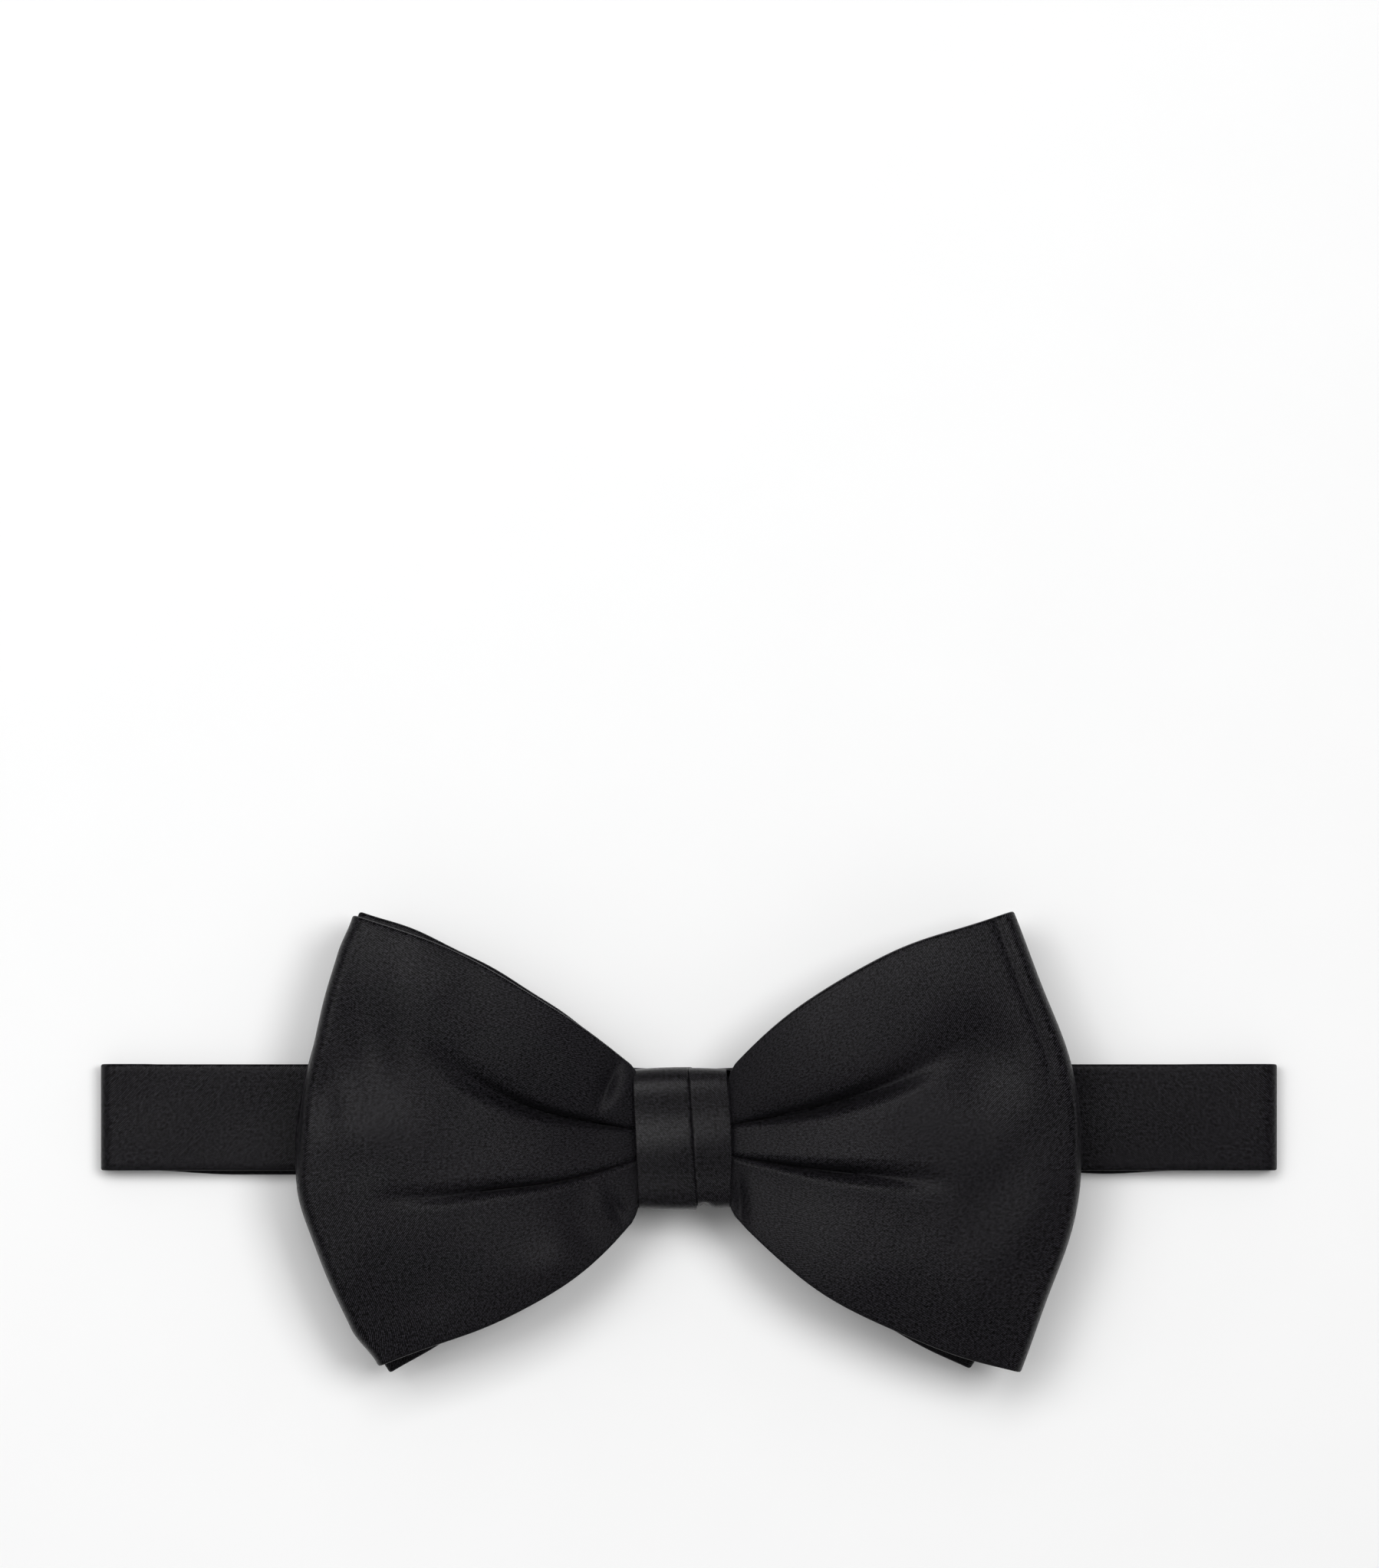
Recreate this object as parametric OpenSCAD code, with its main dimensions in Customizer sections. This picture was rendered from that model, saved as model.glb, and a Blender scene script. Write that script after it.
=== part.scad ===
// Pre-tied bow tie on an adjustable neck band, lying on its back.
// +X runs along the band, +Y up the bow, +Z out of its front. Millimetres.
// The origin is on the surface that the tie lies on, under the middle of the bow.
// The neck band is unhooked, and both its halves are folded back under the bow.

/* [Bow] */
// Width of the bow, from wing tip to wing tip
bow_w = 130; // [122:1:138]
// Height of the bow at the corners of its wings
bow_h = 76; // [68:1:84]
// How far the corners of a wing stand in from its tip
corner_in = 9.7; // [6:0.1:12]
// Height of the front loop above the surface
bow_top = 19.5; // [18:0.1:22]
// Thickness of the bow's cloth: two plies of satin with canvas between them
cloth_t = 1; // [0.8:0.1:1.1]
// Depth of the pleats where the front loop enters the knot
pleat_depth = 1.6; // [0.4:0.1:1.8]

/* [Knot] */
// Width of the knot along the band
knot_w = 16.4; // [14:0.1:19]
// Height of the knot up the bow
knot_h = 22.9; // [21.5:0.1:25]
// Thickness of the knot's folded satin strip
knot_t = 1.2; // [1:0.05:1.2]
// Place of the knot along the band
knot_x = -0.9; // [-2:0.1:2]
// Place of the knot up the bow
knot_y = 0.5; // [-1:0.1:1]

/* [Neck band] */
// Length of the folded band, from fold to fold
band_len = 197; // [190:1:204]
// Width of the band
band_w = 17.8; // [16:0.1:18.2]
// Thickness of the pressed band
band_t = 0.7; // [0.6:0.05:0.7]
// Place of the band up the bow
band_y = 4; // [0:0.1:4.5]

/* [Closure] */
// Place of the eye's strap bar along the band
eye_x = -44; // [-48:0.5:-43]
// Place of the hook's strap bar along the band
hook_x = 17; // [16.5:0.5:19]
// Place of the slider's middle bar along the band
slider_x = 54; // [52:0.5:55]

/* [Hidden] */

satin = [0.045, 0.045, 0.05];
canvas = [0.86, 0.84, 0.78];
thread = [0.09, 0.09, 0.1];
metal = [0.72, 0.72, 0.74];
$fn = 48;

// Heights of the layers above the surface, from the floor up.
left_run_z = band_t / 2;              // middle of the left half of the band, on the floor
slide_bar_t = 0.6;                    // the slider's outer bars lie under the right half
fit_gap = 0.05;                       // free play between cloth and metal
right_run_z = slide_bar_t + fit_gap + band_t / 2;
front_run_z = 4.35;                   // middle of the front run, clear of the slider under it
knot_bottom = front_run_z + band_t / 2 + 0.2;
waist_z = [knot_bottom + 2.4, knot_bottom + 3.6, knot_bottom + 4.8, knot_bottom + 7.1];
knot_top = knot_bottom + 11;
knot_corner_r = 2.6;

// The two bends of the band are half turns between the front run and each half.
bend_r = (front_run_z - left_run_z) / 2;
bend_z = (front_run_z + left_run_z) / 2;
bend_x = band_len / 2 - bend_r - band_t / 2;

// Interlining lies in a hollow inside the pressed band.
hollow_w = band_w - 1.2;
hollow_t = band_t - 0.3;
lining_play = 0.04;

// Metal fittings: a round bar that the strap turns round, and arms beside the strap.
strap_bar_r = 0.7;
strap_turn_r = strap_bar_r + 0.075;
arm_in = band_w / 2 + 0.4;
arm_out = arm_in + 1.2;
eye_z = band_t + strap_turn_r;
hook_z = right_run_z + band_t / 2 + strap_turn_r;
return_z = hook_z + strap_turn_r + band_t / 2;
arm_r = 0.8;
far_bar_r = 0.6;
eye_reach = 7.2;                      // from the strap's bar to the bar that the hook catches
hook_frame = 5.2;
tongue_w = 9;
tongue_t = 0.7;
tongue_len = 5.6;
lip_len = 3.6;
nose_r = 1.45;
slider_half = 6;
slider_bar_r = 0.4;
slide_bar_w = 1.6;
slider_bar_z = return_z - band_t / 2 - slider_bar_r;
tail_len = 9;

// The right half steps down from the slider's level to the floor beside its fold.
step_top_x = 89;
step_foot_x = 94.5;

thread_r = 0.15;

// ---- Small shapes ------------------------------------------------------------------------

function lerp(a, b, t) = a + (b - a) * t;
function smooth(t) = let(c = max(0, min(1, t))) c * c * (3 - 2 * c);

// A flat strap's cross-section: its folded edges are round.
module strap_section(w, t) {
  square([w - t, t], center = true);
  for (s = [-1, 1]) translate([s * (w - t) / 2, 0]) circle(d = t);
}

// A straight strap from x0 to x1 at height z.
module strap_run(x0, x1, z, w, t) {
  translate([x0, band_y, z])
    rotate([90, 0, 90])
      linear_extrude(height = x1 - x0) strap_section(w, t);
}

// Part of a turn of strap about an axis along Y, from angle a0 round by span (0 is +X, 90 is +Z).
module strap_turn(x, z, r, a0, span, w = band_w, t = band_t) {
  translate([x, band_y, z])
    rotate([90, 0, 0])
      rotate([0, 0, a0])
        rotate_extrude(angle = span, $fn = 64)
          translate([r, 0]) rotate(90) strap_section(w, t);
}

// A side view in X and Z, given as an outline, drawn out to width w across the band.
module side_profile(points, w) {
  translate([0, band_y + w / 2, 0])
    rotate([90, 0, 0])
      linear_extrude(height = w) polygon(points);
}

// One sewn stitch along Y: a bar on each face of the cloth, joined by two legs through it.
module stitch(x, y, z0, z1, len) {
  for (z = [z0 - thread_r, z1 + thread_r])
    translate([x, y, z])
      rotate([90, 0, 0]) cylinder(r = thread_r, h = len, center = true, $fn = 16);
  for (s = [-1, 1])
    translate([x, y + s * (len / 2 - 2 * thread_r), z0 - thread_r])
      cylinder(r = 0.8 * thread_r, h = z1 - z0 + 2 * thread_r, $fn = 16);
}

// ---- The bow's loops ---------------------------------------------------------------------
// A loop is one strip of cloth: from the middle of its back out to a wing tip, round the tip,
// across the front to the other tip, and back. Its ends meet at the back, under the knot.
// loop = [back height at the waist, front height at the waist, back height in the wing,
//         front height in the wing, share of the bow's reach, rows across the strip, pleated]

front_loop = [waist_z[2], waist_z[3], 12.2, bow_top - cloth_t / 2, 1, 12, 1];
back_loop = [waist_z[0], waist_z[1], 7.2, 10.4, 0.992, 6, 0];

waist_half = 9.3;
wing_steps = 20;
end_gap = 0.4;
knot_edge = knot_w / 2 - 0.6;

// How far a wing reaches from the knot's edge on one side, across the strip (v from -1 to 1).
function reach(side, v, share) =
  share * (bow_w / 2 - side * knot_x) - knot_edge - corner_in * pow(abs(v), 1.5);

// Half the strip's height, at a share a of the way from the knot to the tip.
function half_height(a, share) =
  lerp(waist_half, share * bow_h / 2, 1 - pow(1 - a, 1.6));

// Place on the strip's middle surface: phi is 0 at the back of the waist and 180 at its front.
function wing_point(side, phi, v, loop) =
  let(
    a = pow(sin(phi), 0.8),
    front = (1 - cos(phi)) / 2,
    puff = smooth(a / 0.6),
    z_back = lerp(loop[0], loop[2], puff),
    z_front = lerp(loop[1], loop[3], puff),
    ridge = loop[6] * pleat_depth / 2 * pow(1 - a, 1.5) * cos(540 * v) * smooth(2 * front - 1)
  )
  [
    knot_x + side * (knot_edge + reach(side, v, loop[4]) * a),
    lerp(knot_y, 0, a) + v * half_height(a, loop[4]),
    lerp(z_back, z_front, front) + ridge
  ];

// Stations along the whole strip, as [side, phi], or [0, x, level] inside the knot.
function strip_stations() = concat(
  [[0, end_gap / 2, 0]],
  [for (i = [0 : wing_steps]) [1, 180 * i / wing_steps]],
  [for (i = [0 : wing_steps]) [-1, 180 - 180 * i / wing_steps]],
  [[0, -end_gap / 2, 0]]
);

function strip_point(station, v, loop) =
  station[0] == 0
    ? [knot_x + station[1], knot_y + v * waist_half, loop[0]]
    : wing_point(station[0], station[1], v, loop);

function unit(p) = p / max(norm(p), 1e-9);

// The strip's mid surface as rows of points, then its normals by central differences.
function strip_rows(loop) =
  let(n = loop[5])
  [for (s = strip_stations()) [for (j = [0 : n]) strip_point(s, 2 * j / n - 1, loop)]];

function strip_normal(rows, i, j) =
  let(
    last = len(rows) - 1,
    across = len(rows[0]) - 1,
    along_u = rows[min(i + 1, last)][j] - rows[max(i - 1, 0)][j],
    along_v = rows[i][min(j + 1, across)] - rows[i][max(j - 1, 0)]
  )
  unit(cross(along_u, along_v));

// A closed ring of points round the strip's cross-section at station i, t thick, inset at its edges.
function section_ring(rows, i, t, inset) =
  let(
    n = len(rows[0]) - 1,
    edge = function(j)
      let(p = rows[i][j], q = rows[i][j == 0 ? 1 : n - 1])
      j == 0 || j == n ? p + inset * unit(q - p) : p
  )
  concat(
    [for (j = [0 : n]) edge(j) + strip_normal(rows, i, j) * t / 2],
    [for (j = [n : -1 : 0]) edge(j) - strip_normal(rows, i, j) * t / 2]
  );

function quad(a, b, c, d) = [[a, b, c], [a, c, d]];
function flat(lists) = [for (l = lists) for (x = l) x];

// Triangles between neighbouring rings of m points. The first ring starts at point `base`.
function skin(rings, m, base) = flat([
  for (i = [0 : rings - 2], k = [0 : m - 1])
    let(a = base + i * m + k, b = base + i * m + (k + 1) % m)
    quad(a, b, b + m, a + m)
]);

function turned(faces) = [for (f = faces) [f[2], f[1], f[0]]];

// The satin tube: an outer and an inner skin, joined by a flat ring at each end of the strip.
module loop_cover(loop) {
  rows = strip_rows(loop);
  last = len(rows) - 1;
  m = 2 * len(rows[0]);
  outer = flat([for (i = [0 : last]) section_ring(rows, i, cloth_t, 0)]);
  inner = flat([for (i = [0 : last]) section_ring(rows, i, cloth_t - 0.4, 0.5)]);
  inner_at = len(outer);
  start_cap = flat([for (k = [0 : m - 1])
    quad(k, inner_at + k, inner_at + (k + 1) % m, (k + 1) % m)]);
  end_at = last * m;
  end_cap = flat([for (k = [0 : m - 1])
    quad(end_at + (k + 1) % m, inner_at + end_at + (k + 1) % m, inner_at + end_at + k, end_at + k)]);
  polyhedron(
    points = concat(outer, inner),
    faces = concat(
      turned(skin(last + 1, m, 0)), skin(last + 1, m, inner_at), turned(start_cap), turned(end_cap)
    )
  );
}

// The canvas inside the tube: the same strip, a little thinner and narrower than the hollow.
module loop_interlining(loop) {
  rows = strip_rows(loop);
  last = len(rows) - 1;
  m = 2 * len(rows[0]);
  points = flat([for (i = [0 : last]) section_ring(rows, i, cloth_t - 0.5, 0.7)]);
  function cap(at) = flat([for (j = [0 : m / 2 - 2])
    quad(at + j, at + j + 1, at + m - 2 - j, at + m - 1 - j)]);
  polyhedron(
    points = points,
    faces = concat(turned(skin(last + 1, m, 0)), cap(0), turned(cap(last * m)))
  );
}

module bow_front_cover() { color(satin) loop_cover(front_loop); }
module bow_front_interlining() { color(canvas) loop_interlining(front_loop); }
module bow_back_cover() { color(satin) loop_cover(back_loop); }
module bow_back_interlining() { color(canvas) loop_interlining(back_loop); }

// ---- The knot ----------------------------------------------------------------------------

// A rectangle with round corners, its sides w along Y and h along Z when stood up.
module round_box(w, h, r) {
  square([w - 2 * r, h], center = true);
  square([w, h - 2 * r], center = true);
  for (a = [-1, 1], b = [-1, 1]) translate([a * (w / 2 - r), b * (h / 2 - r)]) circle(r = r);
}

// A closed ring of cloth round the waist, inset by `outside` from the knot's outer face.
module knot_ring(outside, t, w) {
  h = knot_top - knot_bottom;
  translate([knot_x - w / 2, knot_y, (knot_top + knot_bottom) / 2])
    rotate([90, 0, 90])
      linear_extrude(height = w)
        difference() {
          round_box(knot_h - 2 * outside, h - 2 * outside, knot_corner_r - outside);
          round_box(knot_h - 2 * (outside + t), h - 2 * (outside + t), knot_corner_r - outside - t);
        }
}

module knot_cover() {
  color(satin)
    difference() {
      knot_ring(0, knot_t, knot_w);
      knot_ring(0.3, knot_t - 0.6, knot_w - 1.2);
    }
}

module knot_interlining() { color(canvas) knot_ring(0.34, knot_t - 0.68, knot_w - 1.4); }

// The strip's ends overlap at the back of the knot, where a row of stitches holds them.
module knot_seam_stitches() {
  count = 6;
  color(thread)
    for (i = [0 : count - 1])
      rotate([0, 0, 90])
        stitch(knot_y, -knot_x - knot_w / 2 + (i + 0.5) * knot_w / count,
          knot_bottom + 0.3, knot_bottom + knot_t - 0.3, 1.8);
}

// Turns of thread that gather the bow's loops at the waist.
module waist_thread() {
  turns = 5;
  slack = thread_r + 0.15;
  low = waist_z[0] - cloth_t / 2 - slack;
  high = waist_z[3] + (cloth_t + pleat_depth) / 2 + slack;
  half = waist_half + slack + 0.1;
  r = 0.4;
  color(thread)
    for (i = [0 : turns - 1])
      translate([knot_x + (i - (turns - 1) / 2) * 2 * thread_r, knot_y, (low + high) / 2])
        rotate([90, 0, 90]) thread_turn(half, (high - low) / 2, r);
}

// One turn of thread: a rectangle with round corners, half sizes a and b.
module thread_turn(a, b, r) {
  for (s = [-1, 1]) {
    translate([0, s * b, 0])
      rotate([0, 90, 0]) cylinder(r = thread_r, h = 2 * (a - r), center = true, $fn = 16);
    translate([s * a, 0, 0])
      rotate([90, 0, 0]) cylinder(r = thread_r, h = 2 * (b - r), center = true, $fn = 16);
    for (q = [-1, 1])
      translate([s * (a - r), q * (b - r), 0])
        rotate([0, 0, s > 0 ? (q > 0 ? 0 : 270) : (q > 0 ? 90 : 180)])
          rotate_extrude(angle = 90, $fn = 32) translate([r, 0]) circle(r = thread_r, $fn = 16);
  }
}

// Stitches that hold the back of the knot down on the band.
module bow_anchor_stitches() {
  color(thread)
    for (sx = [-1, 1], sy = [-1, 1])
      stitch(knot_x + sx * (knot_w / 2 - 2), band_y + sy * 5,
        front_run_z - band_t / 2 + 0.3, knot_bottom + knot_t - 0.3, 2.4);
}

// ---- The neck band -----------------------------------------------------------------------

module band_front_cover() {
  color(satin)
    difference() {
      strap_run(-bend_x, bend_x, front_run_z, band_w, band_t);
      strap_run(-bend_x - 1, bend_x + 1, front_run_z, hollow_w, hollow_t);
    }
}

module band_front_interlining() {
  color(canvas)
    strap_run(-bend_x, bend_x, front_run_z,
      hollow_w - 2 * lining_play, hollow_t - 2 * lining_play);
}

// The band is pressed double at each bend, between the front run and the half behind it.
module band_left_bend() {
  color(satin) strap_turn(-bend_x, bend_z, bend_r, 90, 180);
}

module band_right_bend() {
  color(satin) strap_turn(bend_x, bend_z, bend_r, -90, 180);
}

// A strap that follows a side view of [x, z] points, with square edges.
module strap_path(points, w, t) {
  lower = [for (p = points) [p[0], p[1] - t / 2]];
  upper = [for (i = [len(points) - 1 : -1 : 0]) [points[i][0], points[i][1] + t / 2]];
  side_profile(concat(lower, upper), w);
}

// The left half runs to the eye, turns round its bar, and is sewn down on itself.
module band_left_cover() {
  turn_z = eye_z + strap_turn_r + band_t / 2;
  tail_z = left_run_z + band_t + 0.05;
  color(satin) {
    difference() {
      strap_run(-bend_x, eye_x, left_run_z, band_w, band_t);
      strap_run(-bend_x - 1, eye_x - tail_len - 2, left_run_z, hollow_w, hollow_t);
    }
    strap_turn(eye_x, eye_z, strap_turn_r + band_t / 2, -90, 180);
    strap_path([[eye_x, turn_z], [eye_x - 1, turn_z], [eye_x - 5, tail_z], [eye_x - tail_len, tail_z]],
      band_w - 0.4, band_t);
  }
}

module band_left_interlining() {
  color(canvas)
    strap_run(-bend_x, eye_x - tail_len - 2 - lining_play, left_run_z,
      hollow_w - 2 * lining_play, hollow_t - 2 * lining_play);
}

// A bar tack: a close row of stitches across the band through both layers.
module bar_tack(x, z0, z1) {
  count = 7;
  pitch = 2.1;
  color(thread)
    for (i = [0 : count - 1])
      stitch(x + (i % 2 - 0.5) * 0.7, band_y + (i - (count - 1) / 2) * pitch, z0, z1, 1.8);
}

module eye_bar_tack() { bar_tack(eye_x - 7.2, 0.3, left_run_z + 1.5 * band_t - 0.25); }

// The right half steps up from the floor to the slider's level and runs on to the hook.
module band_right_cover() {
  color(satin) {
    strap_run(hook_x, step_top_x, right_run_z, band_w, band_t);
    strap_path([[step_top_x, right_run_z], [step_foot_x, left_run_z], [bend_x, left_run_z]],
      band_w - band_t, band_t);
  }
}

// The strap's turn round the hook's bar.
module band_right_loop() {
  color(satin) strap_turn(hook_x, hook_z, strap_turn_r + band_t / 2, 90, 180);
}

// From the turn at the hook the strap runs back to the slider's bar, where it is sewn.
module band_right_return() {
  tail_z = slider_bar_z - slider_bar_r - band_t / 2;
  color(satin) {
    strap_run(hook_x, slider_x, return_z, band_w, band_t);
    strap_turn(slider_x, slider_bar_z, slider_bar_r + band_t / 2, -90, 180);
    strap_run(slider_x - tail_len, slider_x, tail_z, band_w, band_t);
  }
}

module slider_bar_tack() {
  bar_tack(slider_x - 6.5, slider_bar_z - slider_bar_r - band_t + 0.3, return_z + band_t / 2 - 0.3);
}

// ---- The metal fittings ------------------------------------------------------------------

// A plate beside the strap on each side, cut to a side view of [x, z] points.
module side_arms(points) {
  for (s = [-1, 1])
    translate([0, s * (arm_in + arm_out) / 2, 0]) side_profile(points, arm_out - arm_in);
}

// A round bar across the strap between the two arms.
module cross_bar(x, z, r) {
  translate([x, band_y, z])
    rotate([90, 0, 0]) cylinder(r = r, h = 2 * arm_out - 0.4, center = true);
}

// The arm of a fitting: a bar of height 2r that runs from one cross bar to the other.
function arm_outline(x0, z0, r0, x1, z1, r1) = concat(
  [for (a = [90 : 30 : 270]) [x0 + r0 * cos(a), z0 + r0 * sin(a)]],
  [for (a = [-90 : 30 : 90]) [x1 + r1 * cos(a), z1 + r1 * sin(a)]]
);

module eye() {
  color(metal) {
    cross_bar(eye_x, eye_z, strap_bar_r);
    cross_bar(eye_x + eye_reach, far_bar_r, far_bar_r);
    side_arms(arm_outline(eye_x, eye_z, arm_r, eye_x + eye_reach, arm_r, arm_r));
  }
}

// The hook's tongue: out along the floor from x, round its nose, and back over the mouth.
module tongue(x) {
  nose_x = x - tongue_len;
  translate([nose_x, band_y - tongue_w / 2, 0]) cube([tongue_len, tongue_w, tongue_t]);
  translate([nose_x, band_y - tongue_w / 2, 2 * nose_r - tongue_t]) cube([lip_len, tongue_w, tongue_t]);
  translate([nose_x, band_y, nose_r])
    rotate([90, 0, 0])
      difference() {
        cylinder(r = nose_r, h = tongue_w, center = true);
        cylinder(r = nose_r - tongue_t, h = tongue_w + 1, center = true);
        translate([0, -nose_r, -tongue_w]) cube([nose_r + 1, 2 * nose_r, 2 * tongue_w]);
      }
}

module hook() {
  bar_x = hook_x - hook_frame;
  color(metal) {
    cross_bar(hook_x, hook_z, strap_bar_r);
    cross_bar(bar_x, far_bar_r, far_bar_r);
    side_arms(arm_outline(bar_x, arm_r, arm_r, hook_x, hook_z, arm_r));
    tongue(bar_x);
  }
}

module slider() {
  end = slider_half + slide_bar_w / 2;
  arch = 1.6;
  arch_z = slider_bar_z + 0.7;
  color(metal) {
    cross_bar(slider_x, slider_bar_z, slider_bar_r);
    for (s = [-1, 1])
      translate([slider_x + s * slider_half - slide_bar_w / 2, band_y - arm_out, 0])
        cube([slide_bar_w, 2 * arm_out, slide_bar_t]);
    side_arms([
      [slider_x - end, 0], [slider_x + end, 0], [slider_x + end, slide_bar_t],
      [slider_x + arch, arch_z], [slider_x - arch, arch_z], [slider_x - end, slide_bar_t]
    ]);
  }
}

// ---- The whole tie -----------------------------------------------------------------------

bow_front_cover();
bow_front_interlining();
bow_back_cover();
bow_back_interlining();
waist_thread();
knot_cover();
knot_interlining();
knot_seam_stitches();
bow_anchor_stitches();
band_front_cover();
band_front_interlining();
band_left_bend();
band_right_bend();
band_left_cover();
band_left_interlining();
eye_bar_tack();
eye();
band_right_cover();
band_right_loop();
band_right_return();
slider_bar_tack();
slider();
hook();
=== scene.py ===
"""The looks of a black satin bow tie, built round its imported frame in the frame's own axes.

Shapes are worked out in millimetres and written to their meshes in metres.
"""
import math
from collections import namedtuple

import bmesh
import bpy
import numpy as np
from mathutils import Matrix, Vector


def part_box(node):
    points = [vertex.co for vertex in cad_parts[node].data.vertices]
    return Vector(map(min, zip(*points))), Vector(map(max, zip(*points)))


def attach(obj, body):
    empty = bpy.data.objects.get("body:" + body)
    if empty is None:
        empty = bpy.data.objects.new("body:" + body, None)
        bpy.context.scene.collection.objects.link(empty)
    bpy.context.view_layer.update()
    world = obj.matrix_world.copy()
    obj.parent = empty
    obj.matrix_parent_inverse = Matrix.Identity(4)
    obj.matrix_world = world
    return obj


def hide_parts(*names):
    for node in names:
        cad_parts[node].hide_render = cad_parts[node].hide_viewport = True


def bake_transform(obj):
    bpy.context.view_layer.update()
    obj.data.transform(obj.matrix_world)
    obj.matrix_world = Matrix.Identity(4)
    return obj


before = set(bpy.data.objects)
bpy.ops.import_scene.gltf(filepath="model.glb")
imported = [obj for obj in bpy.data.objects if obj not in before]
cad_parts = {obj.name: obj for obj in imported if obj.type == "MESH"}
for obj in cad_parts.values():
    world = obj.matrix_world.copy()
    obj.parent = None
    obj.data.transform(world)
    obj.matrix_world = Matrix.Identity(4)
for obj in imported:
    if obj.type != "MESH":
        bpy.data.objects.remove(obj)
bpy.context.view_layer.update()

MM = 0.001


def node_box(*nodes):
    """Lowest and highest corner of some CAD nodes together, in millimetres."""
    corners = np.array([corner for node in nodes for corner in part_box(node)]) / MM
    return corners.min(0), corners.max(0)


knot_lo, knot_hi = node_box("knot_cover")
run_lo, run_hi = node_box("band_front_cover")
_, band_hi = node_box("band_front_cover", "band_left_bend", "band_right_bend")
_, left_hi = node_box("band_left_cover")
return_lo, _ = node_box("band_right_return")
loop_lo, loop_hi = node_box("band_right_loop")

knot_x, knot_y, knot_z = (knot_lo + knot_hi) / 2
band_y = (run_lo[1] + run_hi[1]) / 2
band_half = (run_hi[1] - run_lo[1]) / 2
band_t = run_hi[2] - run_lo[2]


# ---- Small functions -----------------------------------------------------------------------


def lerp(a, b, t):
    return a + (b - a) * t


def smooth(t):
    """Rises from 0 to 1 with level ends."""
    t = np.clip(t, 0, 1)
    return t * t * (3 - 2 * t)


def bump(x, y, cx, cy, sx, sy, lean=0.0):
    """A soft round bump, 1 at its middle. Lean turns it, in degrees."""
    c, s = math.cos(math.radians(lean)), math.sin(math.radians(lean))
    u = ((x - cx) * c + (y - cy) * s) / sx
    v = ((y - cy) * c - (x - cx) * s) / sy
    return np.exp(-(u * u + v * v) / 2)


def fold_side(distance, width):
    """1 on a fold's line, falling away over width."""
    rounding = 0.15
    return np.exp(-(np.sqrt(distance**2 + rounding**2) - rounding) / width)


def ripples(x, y, seed, wavelength, count=7):
    """Irregular low waves of unit size, the same on every run."""
    rng = np.random.default_rng(seed)
    total = np.zeros(np.broadcast(x, y).shape)
    for _ in range(count):
        angle = rng.uniform(0, math.pi)
        k = 2 * math.pi / (wavelength * rng.uniform(0.7, 1.6))
        total += np.sin(k * (x * math.cos(angle) + y * math.sin(angle)) + rng.uniform(0, 2 * math.pi))
    return total / math.sqrt(count)


def unit(vectors):
    return vectors / np.maximum(np.linalg.norm(vectors, axis=-1, keepdims=True), 1e-9)


# ---- Cloth meshes --------------------------------------------------------------------------


def gradient_along(grid, axis, closed):
    """Central differences of a grid of points, round the end when it is closed."""
    if closed:
        return np.roll(grid, -1, axis) - np.roll(grid, 1, axis)
    return np.gradient(grid, axis=axis)


def lengths_along(grid, axis):
    """Mean distance from the first row of points, measured along the cloth."""
    steps = np.linalg.norm(np.diff(grid, axis=axis), axis=2).mean(axis=1 - axis)
    return np.concatenate([[0], np.cumsum(steps)])


def sheet(name, middle, thickness, closed=False, width=None):
    """A cloth piece with round edges, from its middle surface: rows of points along the strip.

    Its UV map, in metres, is the flat cloth's own length and width, so a weave keeps its size.
    """
    rows, columns, _ = middle.shape
    along = gradient_along(middle, 0, closed)
    across = unit(gradient_along(middle, 1, False))
    normal = unit(np.cross(along, across))
    half = thickness / 2
    turns = np.radians([45, 90, 135])

    def edge(column, outward, face):
        """Points round one long edge, starting from the upper face (1) or the lower one (-1)."""
        return [
            middle[:, column] + half * (math.cos(a) * normal[:, column] * face + math.sin(a) * outward)
            for a in turns
        ]

    far_edge = edge(-1, across[:, -1], 1)
    near_edge = edge(0, -across[:, 0], -1)
    top = [middle[:, j] + half * normal[:, j] for j in range(columns)]
    bottom = [middle[:, j] - half * normal[:, j] for j in reversed(range(columns))]
    rings = np.stack(top + far_edge + bottom + near_edge, axis=1)

    v_flat = lengths_along(middle, 1) if width is None else np.linspace(0, width, columns)
    round_edge = half * turns
    v = np.concatenate([v_flat, v_flat[-1] + round_edge, v_flat[::-1] + thickness, -round_edge[::-1]])
    u = lengths_along(middle, 0)
    if closed:
        u = np.append(u, u[-1] + np.linalg.norm(middle[0] - middle[-1], axis=1).mean())
    around = rings.shape[1]
    bands = rows if closed else rows - 1
    faces, corners = [], []
    for i in range(bands):
        low, high = i * around, ((i + 1) % rows) * around
        for k in range(around):
            n = (k + 1) % around
            faces.append((low + k, high + k, high + n, low + n))
            v_next = v[n] if n else v[k] + round_edge[0]
            corners += [(u[i], v[k]), (u[i + 1], v[k]), (u[i + 1], v_next), (u[i], v_next)]
    far_from, far_to, near_from = columns - 1, columns + len(turns), 2 * columns + len(turns) - 1
    # Faces round the long edges, and the end caps, take the second material: painted shade on the folded
    # edges.
    at_edge = [far_from <= k < far_to or k >= near_from for k in range(around)]
    painted_shade_faces = at_edge * bands
    if not closed:
        faces += end_caps(columns, len(turns), around, 0, False)
        faces += end_caps(columns, len(turns), around, (rows - 1) * around, True)
        corners += [(0, 0)] * sum(len(f) for f in faces[(rows - 1) * around:])
        painted_shade_faces += [True] * (len(faces) - len(painted_shade_faces))
    return cloth_object(name, rings.reshape(-1, 3), faces, corners, painted_shade_faces)


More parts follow.
